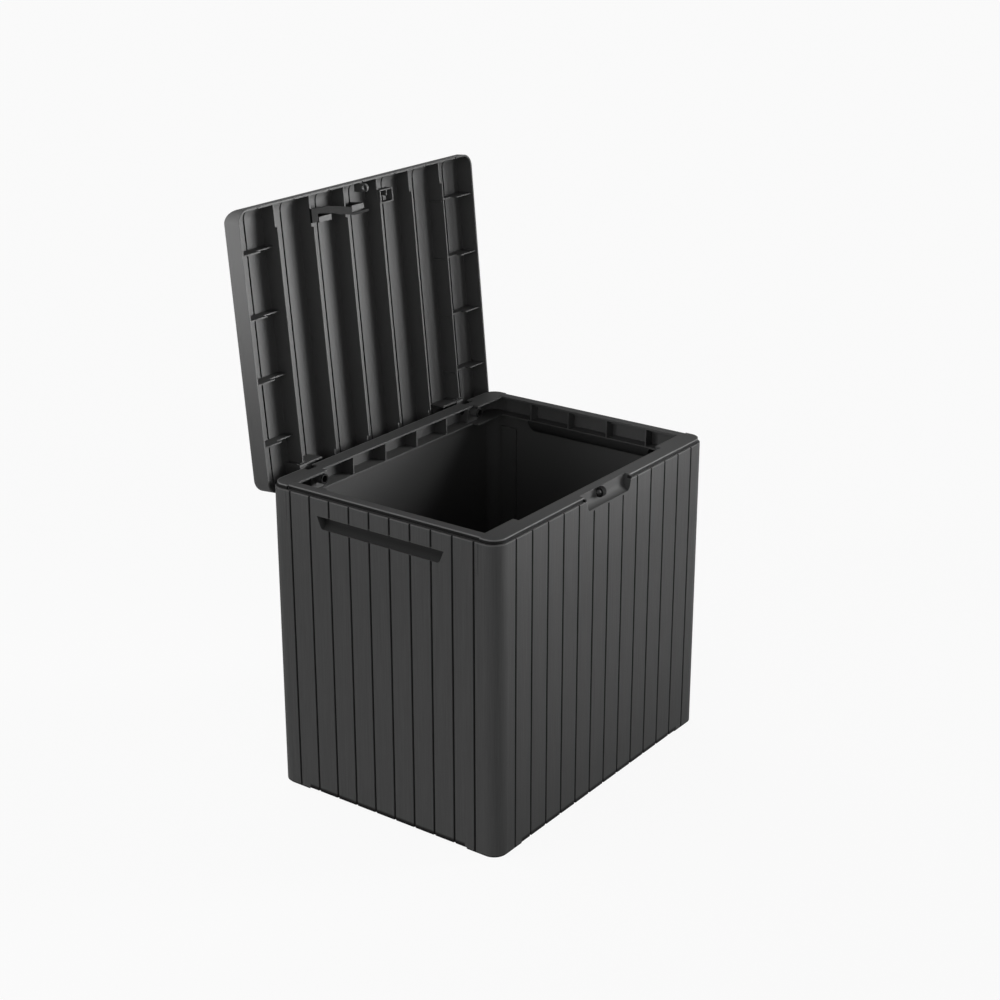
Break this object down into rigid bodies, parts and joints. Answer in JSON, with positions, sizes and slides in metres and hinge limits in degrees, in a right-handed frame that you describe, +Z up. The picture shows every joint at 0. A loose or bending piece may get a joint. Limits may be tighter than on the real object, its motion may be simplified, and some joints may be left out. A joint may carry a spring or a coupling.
{
  "type": "deck storage box",
  "caption": "Upright plank-patterned plastic deck storage box with wrapped corners, hand grips, a padlock eye and a ribbed lid that swings up on rear hinges.",
  "frame": {"origin": "on the floor at the centre of the body's footprint, on the base panel's centre foot", "axes": "+X to the right seen from the front, +Y to the back where the hinges are, +Z up"},
  "size_m": [0.578, 0.5065, 0.9275],
  "materials": {
    "graphite_plastic": "matt graphite resin with a fine upright wood grain",
    "black_plastic": "plain satin black"
  },
  "bodies": {
    "box": {"front_panel": "graphite_plastic", "back_panel": "graphite_plastic", "left_panel": "graphite_plastic", "right_panel": "graphite_plastic", "base_panel": "graphite_plastic", "padlock_eye": "black_plastic", "left_hinge_plug": "black_plastic", "right_hinge_plug": "black_plastic", "left_hinge_pin": "black_plastic", "right_hinge_pin": "black_plastic"},
    "lid": {"lid": "graphite_plastic", "latch_bar": "black_plastic", "left_hinge_arm": "graphite_plastic", "right_hinge_arm": "graphite_plastic"}
  },
  "joints": [
    {"name": "lid_hinge", "type": "hinge", "parent": "box", "child": "lid", "pos_m": [0, 0.2055, 0.502], "axis": [1, 0, 0], "range_deg": [0, 95.1]}
  ]
}
